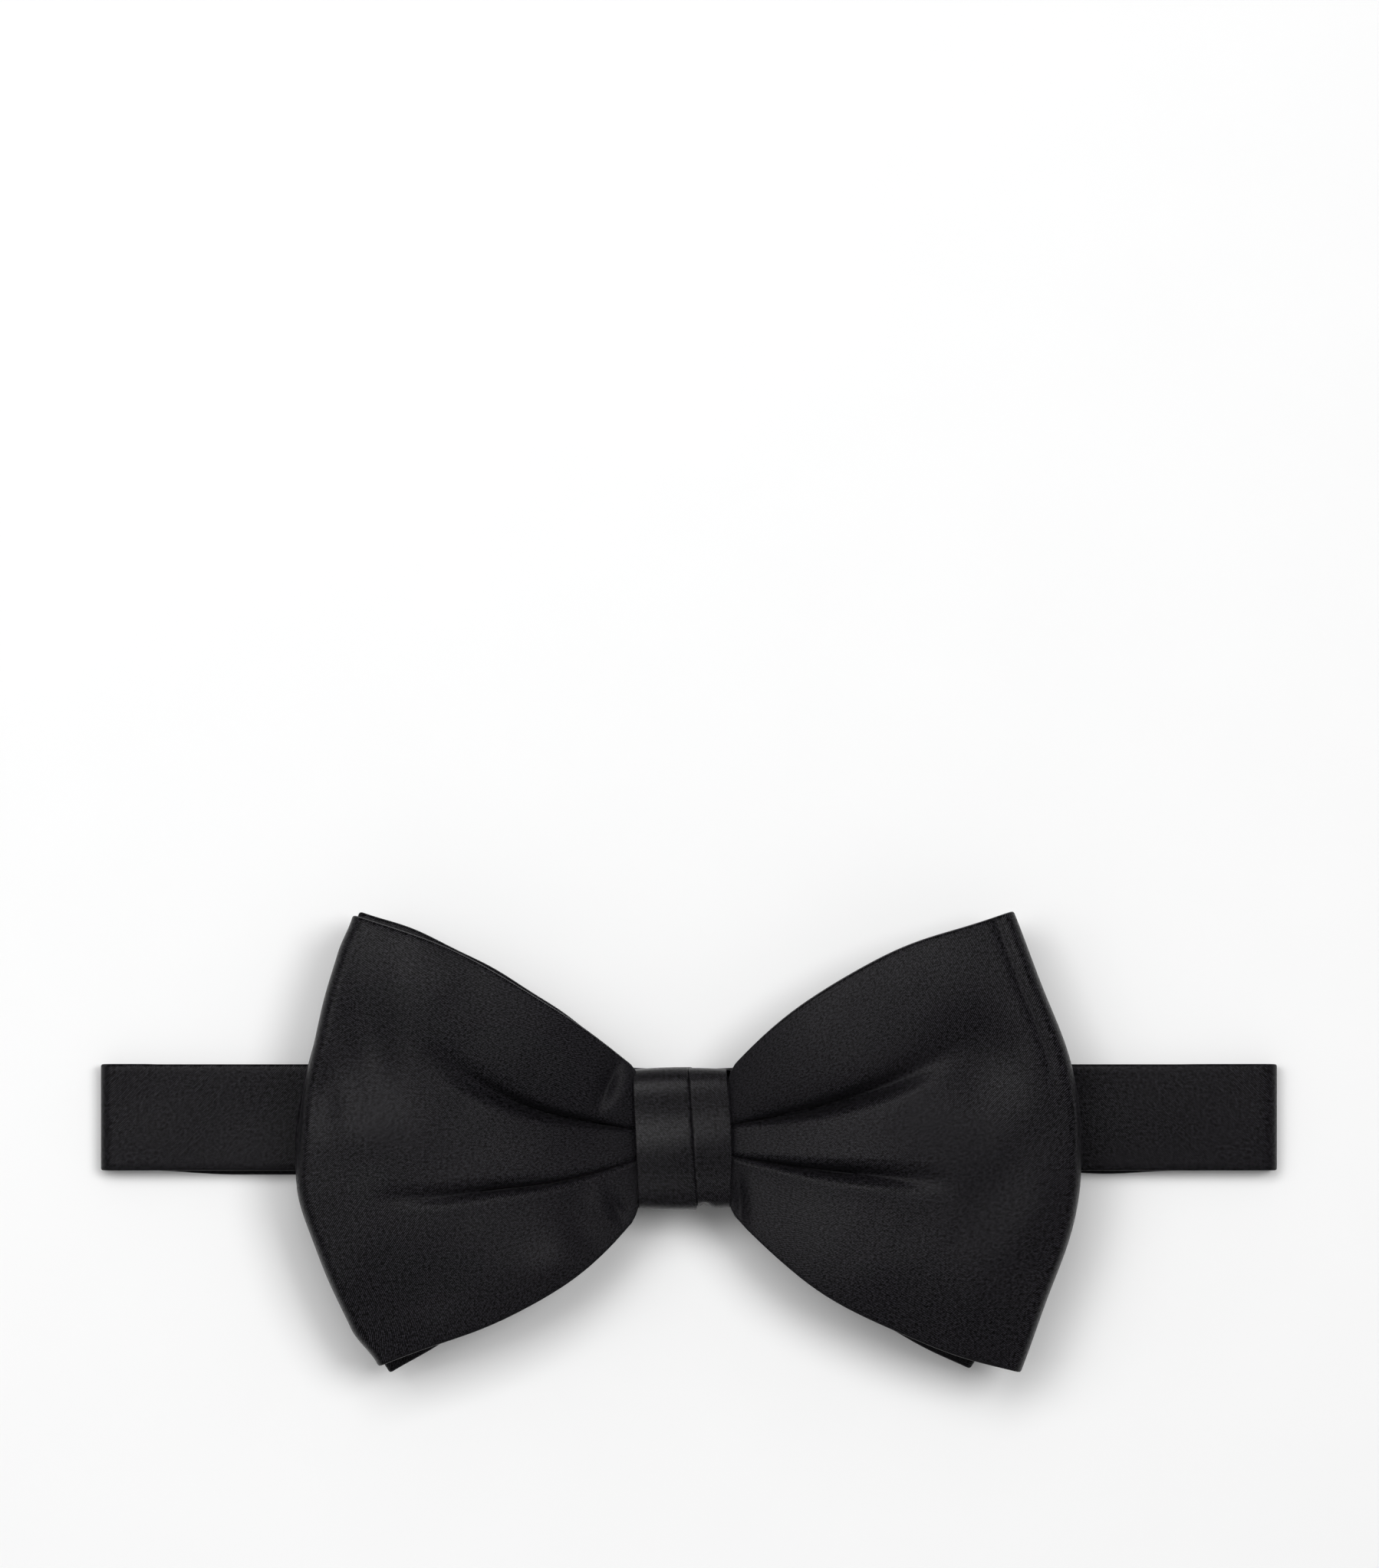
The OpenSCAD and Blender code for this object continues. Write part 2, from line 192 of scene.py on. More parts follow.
def end_caps(columns, turn_count, around, base, flip):
    """Faces that close one end of an open strip."""
    caps = []
    for j in range(columns - 1):
        below = columns + turn_count + (columns - 1 - j)
        caps.append((j, j + 1, below - 1, below))
    far = [columns - 1 + k for k in range(turn_count + 2)]
    near = [0, columns * 2 + turn_count - 1] + [columns * 2 + turn_count + k for k in range(turn_count)]
    caps.append(tuple(far))
    caps.append(tuple(near))
    caps = [tuple(base + k for k in cap) for cap in caps]
    return [cap[::-1] for cap in caps] if flip else caps


def cloth_object(name, points, faces, corners, painted_shade_faces):
    """Makes the mesh. Faces at a folded edge take the second material, darker in colour and duller: painted
    shade on the edges.
    """
    mesh = bpy.data.meshes.new(name)
    mesh.from_pydata((points * MM).tolist(), [], faces)
    mesh.polygons.foreach_set("material_index", np.array(painted_shade_faces, dtype=np.int32))
    layer = mesh.uv_layers.new(name="cloth")
    layer.data.foreach_set("uv", (np.array(corners) * MM).ravel())
    mesh.validate()
    shape = bmesh.new()
    shape.from_mesh(mesh)
    bmesh.ops.recalc_face_normals(shape, faces=shape.faces)
    shape.to_mesh(mesh)
    shape.free()
    mesh.shade_smooth()
    obj = bpy.data.objects.new(name, mesh)
    bpy.context.scene.collection.objects.link(obj)
    return obj


# ---- Materials -----------------------------------------------------------------------------

# The satin's patterns, per metre of cloth.
TWILL_SCALE, FLOATS_SCALE, GRAIN_SCALE = 1650.0, 2200.0, 2000.0
SLUB_SCALE, CLOUD_SCALE = 160.0, 55.0
# How far the weave and the slub stand out, in metres.
WEAVE_HEIGHT, SLUB_HEIGHT = 0.00008, 0.00005
# The satin's own colour between its floats, and on them a lighter colour that is a painted glint.
BETWEEN_FLOATS, PAINTED_GLINT_ON_FLOATS = (0.0002, 0.0002, 0.0003), (0.0265, 0.0250, 0.0295)


class Shader:
    """A short way to write a node material."""

    def __init__(self, name):
        self.material = bpy.data.materials.new(name)
        self.material.use_nodes = True
        self.tree = self.material.node_tree
        self.surface = self.tree.nodes["Principled BSDF"]

    def node(self, kind, settings=None, **inputs):
        made = self.tree.nodes.new(kind)
        for key, value in (settings or {}).items():
            setattr(made, key, value)
        for key, value in inputs.items():
            socket = made.inputs[int(key[1:])] if key[1:].isdigit() else made.inputs[key.replace("_", " ")]
            self.put(socket, value)
        return made

    def put(self, socket, value):
        if isinstance(value, bpy.types.NodeSocket):
            self.tree.links.new(value, socket)
        else:
            socket.default_value = value

    def set(self, **inputs):
        for key, value in inputs.items():
            self.put(self.surface.inputs[key.replace("_", " ")], value)

    def math(self, operation, a, b=0.0):
        return self.node("ShaderNodeMath", {"operation": operation}, _0=a, _1=b).outputs[0]

    def ramp(self, value, low, high, to_low, to_high):
        made = self.node("ShaderNodeMapRange", None, Value=value)
        for key, number in (("From Min", low), ("From Max", high), ("To Min", to_low), ("To Max", to_high)):
            made.inputs[key].default_value = number
        return made.outputs["Result"]

    def noise(self, where, scale, detail=3.0, roughness=0.55):
        made = self.node("ShaderNodeTexNoise", None, Vector=where, Scale=scale, Detail=detail)
        made.inputs["Roughness"].default_value = roughness
        return made.outputs["Fac"]

    def mix(self, amount, a, b):
        made = self.node("ShaderNodeMix", {"data_type": "RGBA"}, Factor=amount)
        self.put(made.inputs[6], a)
        self.put(made.inputs[7], b)
        return made.outputs[2]

    def bump(self, height, distance, strength=1.0, under=None):
        made = self.node("ShaderNodeBump", None, Height=height, Distance=distance, Strength=strength)
        if under is not None:
            self.put(made.inputs["Normal"], under)
        return made.outputs["Normal"]


def satin(name, turn=0.0, shade=1.0, specular=0.09):
    """Black duchess satin: long floats in a fine twill, a soft broad sheen and a little slub, with painted
    glints on the floats in its colour.

    Turn lays the weave at another angle, in degrees. Shade scales the thread's colour.
    """
    s = Shader(name)
    cloth = s.node("ShaderNodeUVMap", {"uv_map": "cloth"}).outputs["UV"]
    turned = s.node("ShaderNodeMapping", None, Vector=cloth)
    turned.inputs["Rotation"].default_value = (0, 0, math.radians(turn))
    cloth = turned.outputs["Vector"]
    twill = s.node(
        "ShaderNodeTexWave",
        {"wave_type": "BANDS", "bands_direction": "DIAGONAL"},
        Vector=cloth, Scale=TWILL_SCALE, Distortion=2.0, Detail=2.0,
    ).outputs["Fac"]
    stretched = s.node("ShaderNodeMapping", None, Vector=cloth)
    stretched.inputs["Scale"].default_value = (1.0, 2.0, 1.0)
    floats = s.noise(stretched.outputs["Vector"], FLOATS_SCALE, 2.0, 0.6)
    grain = s.noise(cloth, GRAIN_SCALE, 2.0, 0.6)
    slub = s.noise(stretched.outputs["Vector"], SLUB_SCALE, 3.0, 0.6)
    cloudy = s.noise(cloth, CLOUD_SCALE, 4.0, 0.5)

    # Between the floats the thread is nearly black. The lighter colour on the floats is a painted highlight
    # standing for their glints, so the cloth is speckled close to.
    dark = tuple(shade * c for c in BETWEEN_FLOATS) + (1.0,)
    painted_glint = tuple(shade * c for c in PAINTED_GLINT_ON_FLOATS) + (1.0,)
    speckle = s.math("ADD", s.math("MULTIPLY", grain, 0.55), s.math("MULTIPLY", floats, 0.45))
    painted_glint_mask = s.math("ADD", s.math("MULTIPLY", speckle, 0.8), s.math("MULTIPLY", twill, 0.2))
    s.set(Base_Color=s.mix(s.ramp(painted_glint_mask, 0.50, 0.60, 0.0, 1.0), dark, painted_glint))
    # The specks are a little smoother than the rest, and the sheen wanders over the cloth.
    speck_rough = s.ramp(speckle, 0.35, 0.65, 0.09, -0.09)
    broad_rough = s.ramp(cloudy, 0.3, 0.7, 0.33, 0.39)
    s.set(Roughness=s.math("ADD", speck_rough, broad_rough))
    weave = s.math("ADD", s.math("MULTIPLY", twill, 0.1), s.math("MULTIPLY", speckle, 0.9))
    fine = s.bump(weave, WEAVE_HEIGHT, 1.0)
    s.set(Normal=s.bump(slub, SLUB_HEIGHT, 0.3, fine))
    s.surface.inputs["Specular IOR Level"].default_value = specular
    s.surface.inputs["Sheen Weight"].default_value = 0.02
    s.surface.inputs["Sheen Roughness"].default_value = 0.35
    s.surface.inputs["Sheen Tint"].default_value = (0.75, 0.74, 0.80, 1.0)
    s.surface.inputs["Anisotropic"].default_value = 0.35
    return s.material


def sewing_thread():
    """Black spun thread with its twist."""
    s = Shader("thread")
    place = s.node("ShaderNodeTexCoord").outputs["Object"]
    twist = s.node(
        "ShaderNodeTexWave", {"bands_direction": "DIAGONAL"}, Vector=place, Scale=900.0, Distortion=1.0
    ).outputs["Fac"]
    s.set(
        Base_Color=s.mix(twist, (0.010, 0.010, 0.012, 1.0), (0.045, 0.044, 0.050, 1.0)),
        Roughness=s.ramp(s.noise(place, 900.0), 0.3, 0.7, 0.55, 0.75),
        Normal=s.bump(twist, 0.00004, 0.7),
    )
    return s.material


def nickel():
    """Satin nickel: fine brushing along the band's width, and a few darker handling marks."""
    s = Shader("metal")
    place = s.node("ShaderNodeTexCoord").outputs["Object"]
    stretched = s.node("ShaderNodeMapping", None, Vector=place)
    stretched.inputs["Scale"].default_value = (1.0, 0.06, 1.0)
    brushing = s.noise(stretched.outputs["Vector"], 5200.0, 3.0, 0.6)
    marks = s.noise(place, 260.0, 4.0, 0.6)
    clean, handled = (0.66, 0.65, 0.63, 1.0), (0.52, 0.51, 0.50, 1.0)
    brushed_rough = s.ramp(brushing, 0.3, 0.7, 0.20, 0.30)
    marks_rough = s.ramp(marks, 0.4, 0.8, 0.0, 0.12)
    s.set(
        Base_Color=s.mix(s.ramp(marks, 0.35, 0.7, 0.0, 1.0), clean, handled),
        Metallic=1.0,
        Roughness=s.math("ADD", brushed_rough, marks_rough),
        Normal=s.bump(brushing, 0.00001, 0.3),
    )
    return s.material


def floor_paper():
    """A white studio sweep with the faintest grain."""
    s = Shader("sweep")
    place = s.node("ShaderNodeTexCoord").outputs["Object"]
    s.set(
        Base_Color=s.mix(s.noise(place, 40.0), (0.93, 0.93, 0.93, 1.0), (0.95, 0.95, 0.95, 1.0)),
        Roughness=0.9,
        Normal=s.bump(s.noise(place, 900.0), 0.00005, 0.1),
    )
    s.surface.inputs["Specular IOR Level"].default_value = 0.1
    return s.material


# The knot's strip runs across the bow, so its weave is turned. Folded edges get a darker colour and a
# weaker reflection: painted shade on the edges.
BOW_SATIN = satin("bow_satin", 0)
KNOT_SATIN = satin("knot_satin", 90, 0.9, 0.15)
BAND_SATIN = satin("band_satin", 0, 0.95)
FOLD_SHADE_SATIN = satin("fold_painted_shade_satin", 0, 0.8, 0.04)
THREAD = sewing_thread()
METAL = nickel()


def finish_cloth(obj, material, body, *nodes):
    """Gives a cloth piece its material and body, and lets it stand for some CAD nodes."""
    obj.data.materials.append(material)
    obj.data.materials.append(FOLD_SHADE_SATIN)
    if body:
        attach(obj, body)
    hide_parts(*nodes)
    return obj


# ---- Camera, light and floor ---------------------------------------------------------------

VIEW_HEIGHT = 262.388               # what the picture takes in from top to bottom, at the band's top
VIEW_X, VIEW_Y = 0.1, 59.8          # the point in the middle of the picture; the bow lies below it
CAMERA_Z = 3000.0                   # far away, for an almost flat view


def camera():
    data = bpy.data.cameras.new("camera")
    data.sensor_fit = "VERTICAL"
    data.sensor_height = 24.0
    data.lens = data.sensor_height * (CAMERA_Z - run_hi[2]) / VIEW_HEIGHT
    data.clip_end = 20.0
    obj = bpy.data.objects.new("camera", data)
    obj.location = (VIEW_X * MM, VIEW_Y * MM, CAMERA_Z * MM)
    bpy.context.scene.collection.objects.link(obj)
    bpy.context.scene.camera = obj


def aim(direction):
    """The rotation that points a light along direction."""
    return Vector(direction).to_track_quat("-Z", "Y").to_euler()


def area_light(name, place, target, size, power):
    data = bpy.data.lights.new(name, "AREA")
    data.shape = "RECTANGLE"
    data.size, data.size_y = size
    data.energy = power
    obj = bpy.data.objects.new(name, data)
    obj.location = place
    obj.rotation_euler = aim(np.array(target) - np.array(place))
    bpy.context.scene.collection.objects.link(obj)


def sun_light(name, towards, strength, angle, glossy=True):
    """A distant light that stands towards a direction. Without glossy it makes no highlights."""
    data = bpy.data.lights.new(name, "SUN")
    data.energy = strength
    data.angle = math.radians(angle)
    obj = bpy.data.objects.new(name, data)
    obj.rotation_euler = aim([-c for c in towards])
    obj.visible_glossy = glossy
    bpy.context.scene.collection.objects.link(obj)


# How bright the white surroundings are as a light, and as the backdrop that the camera sees.
WORLD_LIGHT, BACKDROP = 0.26, 0.95
FLOOR_REACH = 4.0


def studio():
    """A white room: a key that throws the shadow, a weak fill and a broad sheen on the satin."""
    bpy.context.scene.view_settings.view_transform = "Standard"
    world = bpy.data.worlds.new("studio")
    world.use_nodes = True
    tree = world.node_tree
    background = tree.nodes["Background"]
    background.inputs["Color"].default_value = (1.0, 1.0, 1.0, 1.0)
    seen = tree.nodes.new("ShaderNodeLightPath")
    strength = tree.nodes.new("ShaderNodeMapRange")
    strength.inputs["To Min"].default_value = WORLD_LIGHT
    strength.inputs["To Max"].default_value = BACKDROP
    tree.links.new(seen.outputs["Is Camera Ray"], strength.inputs["Value"])
    tree.links.new(strength.outputs["Result"], background.inputs["Strength"])
    bpy.context.scene.world = world
    sun_light("key", (0.30, 0.13, 0.62), 1.1, 24, glossy=False)
    sun_light("fill", (-0.38, 0.12, 0.62), 0.4, 34)
    area_light("sheen", (-0.12, 0.30, 0.80), (0, 0, 0), (0.6, 0.34), 3.1)
    lay_floor()


def lay_floor():
    r = FLOOR_REACH
    mesh = bpy.data.meshes.new("floor")
    mesh.from_pydata([(-r, -r, 0), (r, -r, 0), (r, r, 0), (-r, r, 0)], [], [(0, 1, 2, 3)])
    floor = bpy.data.objects.new("floor", mesh)
    floor.data.materials.append(floor_paper())
    bpy.context.scene.collection.objects.link(floor)


# ---- The bow's loops -----------------------------------------------------------------------

# A wing: the side it is on, how far its tip reaches, where the tip's upright part ends above and
# below, its two corners, its edges' heights at the knot, how much each long edge curls and how
# sharply, and how round its two corners are.
Wing = namedtuple(
    "Wing",
    "side tip up_y down_y top_x top_y bottom_x bottom_y start_top start_bottom "
    "top_curl top_power bottom_curl bottom_power soft_top soft_bottom",
)
# A pleat: its kind, where it leaves the knot and where it heads, across the wing from -1 to 1,
# how fast it gets there, how it bends, its depth, how far out it ends, and its width at the knot
# and at its end. Cut is the depth of the narrow fold that opens along its line, and spread how fast
# that fold widens.
# A valley dips on both sides of its line; a step drops below its line and rises again slowly.
Pleat = namedtuple("Pleat", "kind start heading settle bend depth reach narrow wide cut spread")
# A loop: heights of its back and front at the knot and in the wing, its thickness, and its roll.
Loop = namedtuple(
    "Loop", "back_in front_in back_out front_out thickness roll edge_crease wings pleats dents"
)

FRONT_WINGS = (
    Wing(1, 65.1, 2.0, -4.0, 53.9, 38.0, 55.0, -38.0, 11.3, -10.6, 0.48, 3.0, 0.5, 3.0, 0.0, 0.0),
    Wing(-1, -64.8, 0.0, -6.0, -56.4, 37.5, -53.2, -36.8, 11.4, -11.4, 0.52, 2.0, 0.42, 4.0, 0.7, 1.8),
)
FRONT_PLEATS = {
    1: (
        Pleat("valley", 0.225, 0.225, 0.3, 0.52, 2.4, 0.86, 1.6, 6.5, 4.4, 3.2),
        Pleat("step", -0.20, -0.15, 0.3, 0.0, 1.5, 0.80, 1.6, 5.5, 4.2, 2.6),
    ),
    -1: (
        Pleat("valley", 0.185, 0.185, 0.3, 0.66, 2.4, 0.82, 1.6, 6.5, 4.4, 3.2),
        Pleat("step", -0.22, -0.275, 0.12, 0.06, 0.9, 0.98, 1.3, 3.4, 2.8, 1.5),
    ),
}
BACK_PLEATS = {
    1: (Pleat("valley", 0.05, 0.1, 0.3, 0.0, 0.8, 0.5, 1.5, 6.0, 0.0, 2.9),),
    -1: (Pleat("valley", 0.0, -0.1, 0.3, 0.0, 0.8, 0.5, 1.5, 6.0, 0.0, 2.9),),
}
# Soft hollows, and swellings where the depth is negative: depth, place, size and lean.
FRONT_DENTS = (
    (1.8, -53.0, 16.0, 3.6, 7.0, 8), (-0.5, -44.0, 26.0, 4.5, 8.0, 20),
    (1.1, -61.0, 7.5, 2.4, 4.0, 0), (-0.4, -57.0, 2.0, 5.0, 3.5, 0),
    (0.5, -16.0, -15.5, 2.4, 3.2, 45), (-0.6, -21.5, -20.0, 3.5, 2.5, 30),
    (1.7, -13.6, 9.6, 0.9, 2.8, -22), (-0.3, -10.9, 8.0, 1.0, 2.8, -12),
    (1.3, -12.2, -11.0, 0.8, 1.8, 25), (-0.3, -14.8, -10.0, 1.4, 2.4, 15),
    (0.4, -18.6, -12.3, 2.4, 2.8, 5), (1.3, 8.6, -9.4, 0.7, 2.8, 4),
    (-0.4, -56.0, -18.0, 3.0, 8.0, -15), (0.5, -46.0, -27.0, 7.0, 5.0, 20),
    (1.7, 49.5, 14.0, 5.0, 6.0, 25), (-0.6, 57.0, 17.0, 3.5, 7.0, 20),
    (-0.6, 58.5, -11.0, 3.5, 6.5, -15), (0.6, 50.5, -10.0, 4.0, 6.0, -30),
    (-0.4, 40.0, -22.0, 9.0, 5.0, -28),
)
BACK_WINGS = (
    Wing(1, 64.6, 2.0, -4.0, 53.0, 37.2, 47.4, -37.4, 11.0, -10.8, 0.44, 3.0, 0.30, 3.0, 0.0, 0.6),
    Wing(-1, -65.2, 0.0, -6.0, -54.7, 38.1, -50.2, -38.3, 10.8, -10.6, 0.50, 2.0, 0.08, 4.0, 0.0, 0.4),
)


def tip_curve(u):
    """0 at the middle of the tip, straight further out, and 1 at a corner."""
    rounding = 0.3
    return (np.sqrt(u * u + rounding**2) - rounding) / (math.sqrt(1 + rounding**2) - rounding)


def long_edge(a, curl, power):
    """How far a long edge has spread on its way from the knot to the corner."""
    return (1 - curl) * a + curl * (1 - (1 - np.clip(a, 0, 1)) ** power)


# Half a loop's height at the tip, and where it is gathered at the knot.
TIP_HALF, GATHER_HALF = 38, 11.3
# A wing's cloth starts this far inside each side of the knot.
TUCKED_IN = 0.8
# The share of a wing's half height that a soft corner rounds off.
CORNER = 0.16


def wing_outline(wing, a, v):
    """Place on the wing seen from above: a is 0 at the knot and 1 at the tip, v runs from -1 to 1."""
    edge_x = knot_x + wing.side * (knot_hi[0] - knot_lo[0] - 2 * TUCKED_IN) / 2
    y_tip = TIP_HALF * v
    up = np.clip((y_tip - wing.up_y) / (TIP_HALF - wing.up_y), 0, 1)
    down = np.clip((wing.down_y - y_tip) / (TIP_HALF + wing.down_y), 0, 1)
    tip = wing.tip + (wing.top_x - wing.tip) * tip_curve(up) + (wing.bottom_x - wing.tip) * tip_curve(down)
    soft = np.where(v > 0, wing.soft_top, wing.soft_bottom)
    soft = soft * smooth((np.abs(v) - (1 - CORNER)) / CORNER)
    x = lerp(edge_x, tip - wing.side * soft * a**3, a)
    top = lerp(wing.start_top, wing.top_y, long_edge(a, wing.top_curl, wing.top_power))
    bottom = lerp(wing.start_bottom, wing.bottom_y, long_edge(a, wing.bottom_curl, wing.bottom_power))
    middle = lerp((wing.start_top + wing.start_bottom) / 2, 0, long_edge(a, 0.5, 3.0))
    y = np.where(v > 0, lerp(middle, top, np.abs(v)), lerp(middle, bottom, np.abs(v)))
    return x, y


def pleat_depth(pleats, a, v, half_height):
    """How far the cloth dips into its pleats, in millimetres.

    A pleat is a broad dip that starts shallow at the knot and dies out at its reach. A narrow cut
    along its line is the fold's own dark crease. It stops short of the dip's end.
    """
    total = np.zeros(np.broadcast(a, v).shape)
    for p in pleats:
        line = p.heading + (p.start - p.heading) * np.exp(-a / p.settle) + p.bend * a * a
        out = np.clip(a / p.reach, 0, 1)
        share = lerp(0.40, 1.0, smooth(a / 0.16)) * (1 - out) ** 1.1
        width = lerp(p.narrow, p.wide, out)
        above = (v - line) * half_height
        if p.kind == "valley":
            side = np.where(above > 0, fold_side(above, width), fold_side(above, width * 1.9))
        else:
            below = np.clip(-above, 0, None)
            rise_again = 6.0 + 2.4 * width
            side = (1 - fold_side(below, width)) * np.exp(-((below / rise_again) ** 1.5))
        total += p.depth * share * side
        gap = 0.3 + p.spread * a
        if p.kind == "step":
            above = above + 0.8 * gap
        share = lerp(0.55, 1.0, smooth(a / 0.14)) * smooth((p.reach * 0.85 - a) / (p.reach * 0.6))
        total += p.cut * share * np.exp(-(np.abs(above / gap) ** 2.4))
    return total


def front_height(loop, wing, a, v, x, y):
    """Height of the front panel's middle surface.

    The panel rises from the knot over half the wing, and droops towards the tip and its long edges.
    It is kept off the back panel, and the right wing has a crease beside its tip, above the middle.
    """
    rise = 1 - (1 - np.clip(a / 0.50, 0, 1)) ** 2.2
    z = lerp(loop.front_in, loop.front_out, rise)
    z = z - 1.2 * smooth((a - 0.74) / 0.26)
    z = z - (0.4 + 1.0 * smooth(a / 0.7)) * np.abs(v) ** 5
    half_height = lerp(GATHER_HALF, TIP_HALF, long_edge(a, 0.5, 3.0))
    z = z - pleat_depth(loop.pleats[wing.side], a, v, half_height)
    for dent in loop.dents:
        z = z - dent[0] * bump(x, y, *dent[1:])
    from_tip = (1 - a) * abs(wing.tip - knot_x)
    resting = back_height(loop, a, v) + loop.thickness + 0.1
    z = (z + resting + np.sqrt((z - resting) ** 2 + 0.1)) / 2
    crease = np.exp(-(((from_tip - 3.8) / 1.0) ** 2)) * smooth((v - 0.2) / 0.2)
    return z - loop.edge_crease * (wing.side > 0) * crease


def back_height(loop, a, v):
    rise = 1 - (1 - np.clip(a / 0.6, 0, 1)) ** 2
    return lerp(loop.back_in, loop.back_out, rise) + 0.25 * np.abs(v) ** 4 * smooth(a / 0.5)


def loop_surface(loop, across, wing_steps, roll_steps):
    """The loop's middle surface: back seam, right wing, knot, left wing, and back to the seam."""
    v = np.linspace(-1, 1, across)[None, :]
    parts = []
    for wing in loop.wings:
        share = loop.roll / (abs(wing.tip) - knot_hi[0])
        out = (np.linspace(0, 1, wing_steps) ** 0.9)[:, None] * (1 - share)
        angle = np.radians(np.linspace(-90, 90, roll_steps + 2)[1:-1])[:, None]
        roll_a = 1 - share + share * np.cos(angle)
        a_back, a_front = out + 0 * v, out[::-1] + 0 * v
        x_b, y_b = wing_outline(wing, a_back, v)
        x_f, y_f = wing_outline(wing, a_front, v)
        x_r, y_r = wing_outline(wing, roll_a + 0 * v, v)
        z_b = back_height(loop, a_back, v)
        z_f = front_height(loop, wing, a_front, v, x_f, y_f)
        low, high = z_b[-1:], z_f[:1]
        z_r = (low + high) / 2 + (high - low) / 2 * np.sin(angle)
        back = np.stack([x_b, y_b, z_b], axis=2)
        front = np.stack([x_f, y_f, z_f], axis=2)
        roll = np.stack([x_r, y_r, z_r], axis=2)
        path = np.concatenate([back, roll, front])
        parts.append(path if wing.side > 0 else path[::-1])
    right, left = parts
    steps = 9
    bridge = [lerp(right[-1], left[0], k / steps) for k in range(1, steps)]
    half_gap = 0.2
    seam = (right[0] + left[-1]) / 2
    start = lerp(seam, right[0], np.linspace(0, 1, 5)[:-1, None, None])
    start[0, :, 0] += half_gap
    end = lerp(left[-1], seam, np.linspace(0, 1, 5)[1:, None, None])
    end[-1, :, 0] -= half_gap
    return np.concatenate([start, right, np.array(bridge), left, end])


# Inside the knot the loops are drawn in to WAIST_HALF, from FREE_HALF just outside it. The change
# starts knot_half from the knot's middle, a little inside its sides.
WAIST_HALF, FREE_HALF = 9.9, 11.4
knot_half = (knot_hi[0] - knot_lo[0]) / 2 - 0.7


def build_loops():
    front = Loop(9.9, 13.8, 11.5, 18.6, 0.9, 1.7, 0.4, FRONT_WINGS, FRONT_PLEATS, FRONT_DENTS)
    back = Loop(7.4, 8.7, 7.4, 10.4, 0.9, 1.3, 0.0, BACK_WINGS, BACK_PLEATS, ())
    made = []
    for name, loop, across, seed, nodes in (
        ("bow_front_loop", front, 121, 5, ("bow_front_cover", "bow_front_interlining")),
        ("bow_back_loop", back, 61, 8, ("bow_back_cover", "bow_back_interlining")),
    ):
        surface = loop_surface(loop, across, 96, 14)
        x, y = surface[..., 0], surface[..., 1]
        free = smooth((np.abs(x - knot_x) - knot_half) / 1.0)
        y[:] = knot_y + (y - knot_y) * lerp(WAIST_HALF / FREE_HALF, 1.0, free)
        # Low waves keep the wings from looking machined. They start outside the knot.
        out = smooth((np.abs(x - knot_x) - 9) / 14)
        broad, small = ripples(x, y, seed, 21.0), ripples(x, y, seed + 1, 8.0)
        surface[..., 2] += 0.07 * out * broad + 0.02 * out * small
        surface[..., 1] += 0.18 * out * ripples(x, y * 0.3, seed + 2, 16.0)
        surface[..., 0] += 0.16 * out * ripples(x * 0.3, y, seed + 3, 17.0)
        obj = sheet(name, surface, loop.thickness, width=2.0 * TIP_HALF)
        made.append(finish_cloth(obj, BOW_SATIN, "bow", *nodes))
    return made


# ---- The knot ------------------------------------------------------------------------------

KNOT_ROWS = 150
# The knot's strip has one pleat. Its folded edge laps this far over the cloth below.
PLEAT_LAP = 2.6
# The knot sits a little above the middle of the bow.
KNOT_LIFT = 0.2
KNOT_CLOTH = 0.36
# How deep the middles of the pleat's three layers lie under the knot's outline, the upper first.
LAYER_DEPTHS = (-0.18, -0.56, -0.94)
# Beyond the pleat the lowest layer is alone, and comes up to here.
ALONE_DEPTH = -0.31


def knot_section(count):
    """Points, outward directions and heights round the knot, seen along the band, as y and z."""
    half_y = (knot_hi[1] - knot_lo[1]) / 2 + 0.35
    half_z = (knot_hi[2] - knot_lo[2]) / 2
    t = np.linspace(0, 2 * math.pi, count, endpoint=False)
    # A superellipse: flat faces and round corners.
    power = 2 / 4.4
    y = half_y * np.sign(np.cos(t)) * np.abs(np.cos(t)) ** power
    z = half_z * np.sign(np.sin(t)) * np.abs(np.sin(t)) ** power
    return resample(np.stack([y, z], axis=1), count)


def resample(points, count):
    """The same closed outline with evenly spaced points."""
    loop = np.vstack([points, points[:1]])
    lengths = np.concatenate([[0], np.cumsum(np.linalg.norm(np.diff(loop, axis=0), axis=1))])
    at = np.linspace(0, lengths[-1], count, endpoint=False)
    return np.stack([np.interp(at, lengths, loop[:, k]) for k in range(2)], axis=1)


